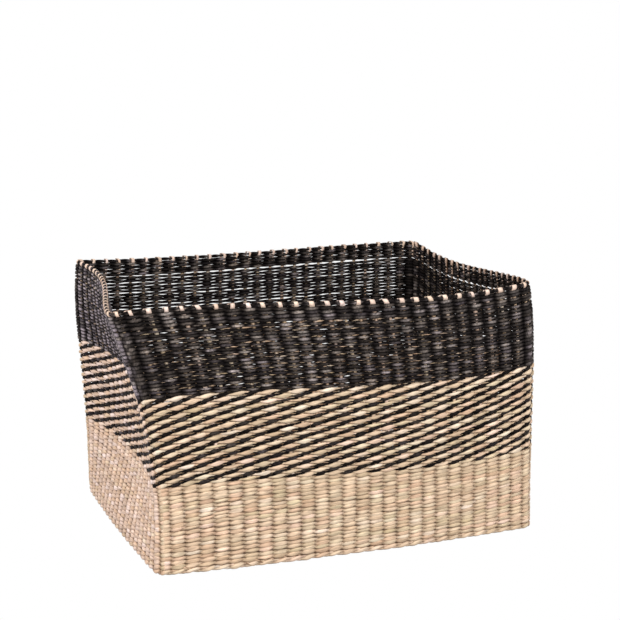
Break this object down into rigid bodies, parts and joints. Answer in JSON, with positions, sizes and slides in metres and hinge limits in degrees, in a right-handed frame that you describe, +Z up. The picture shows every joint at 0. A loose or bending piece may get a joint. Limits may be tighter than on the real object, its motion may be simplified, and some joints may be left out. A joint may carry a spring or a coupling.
{
  "type": "storage basket",
  "caption": "Soft rectangular open-topped storage basket, twined from seagrass round flat stakes, in a natural, a striped and a black band.",
  "frame": {"origin": "middle of the bounding box, on the floor under the base", "axes": "+X along the basket's long side to the right, +Y to the back, +Z up out of the open top"},
  "size_m": [0.454, 0.3172, 0.2613],
  "materials": {
    "natural_seagrass": "matte undyed dried grass, twisted, with paler and greener blades",
    "striped_seagrass": "matte undyed strand twined with a thinner black-dyed one, so it shows slanting stripes",
    "black_seagrass": "black-dyed dried grass with a dull purplish sheen"
  },
  "bodies": {
    "root": {"stake_long_01": "natural_seagrass", "stake_long_02": "natural_seagrass", "stake_long_03": "natural_seagrass", "stake_long_04": "natural_seagrass", "stake_long_05": "natural_seagrass", "stake_long_06": "natural_seagrass", "stake_long_07": "natural_seagrass", "stake_long_08": "natural_seagrass", "stake_long_09": "natural_seagrass", "stake_long_10": "natural_seagrass", "stake_long_11": "natural_seagrass", "stake_long_12": "natural_seagrass", "stake_long_13": "natural_seagrass", "stake_long_14": "natural_seagrass", "stake_long_15": "natural_seagrass", "stake_long_16": "natural_seagrass", "stake_long_17": "natural_seagrass", "stake_long_18": "natural_seagrass", "stake_long_19": "natural_seagrass", "stake_long_20": "natural_seagrass", "stake_long_21": "natural_seagrass", "stake_long_22": "natural_seagrass", "stake_long_23": "natural_seagrass", "stake_long_24": "natural_seagrass", "stake_long_25": "natural_seagrass", "stake_long_26": "natural_seagrass", "stake_long_27": "natural_seagrass", "stake_long_28": "natural_seagrass", "stake_cross_01": "natural_seagrass", "stake_cross_02": "natural_seagrass", "stake_cross_03": "natural_seagrass", "stake_cross_04": "natural_seagrass", "stake_cross_05": "natural_seagrass", "stake_cross_06": "natural_seagrass", "stake_cross_07": "natural_seagrass", "stake_cross_08": "natural_seagrass", "stake_cross_09": "natural_seagrass", "stake_cross_10": "natural_seagrass", "stake_cross_11": "natural_seagrass", "stake_cross_12": "natural_seagrass", "stake_cross_13": "natural_seagrass", "stake_cross_14": "natural_seagrass", "stake_cross_15": "natural_seagrass", "stake_cross_16": "natural_seagrass", "stake_cross_17": "natural_seagrass", "stake_cross_18": "natural_seagrass", "stake_cross_19": "natural_seagrass", "stake_cross_20": "natural_seagrass", "stake_cross_21": "natural_seagrass", "base_weft_lower": "natural_seagrass", "base_weft_upper": "natural_seagrass", "foot_wale": "natural_seagrass", "natural_weft_outer": "natural_seagrass", "natural_weft_inner": "natural_seagrass", "striped_weft_outer": "striped_seagrass", "striped_weft_inner": "striped_seagrass", "black_weft_outer": "black_seagrass", "black_weft_inner": "black_seagrass", "rim_border": "black_seagrass"}
  },
  "joints": []
}
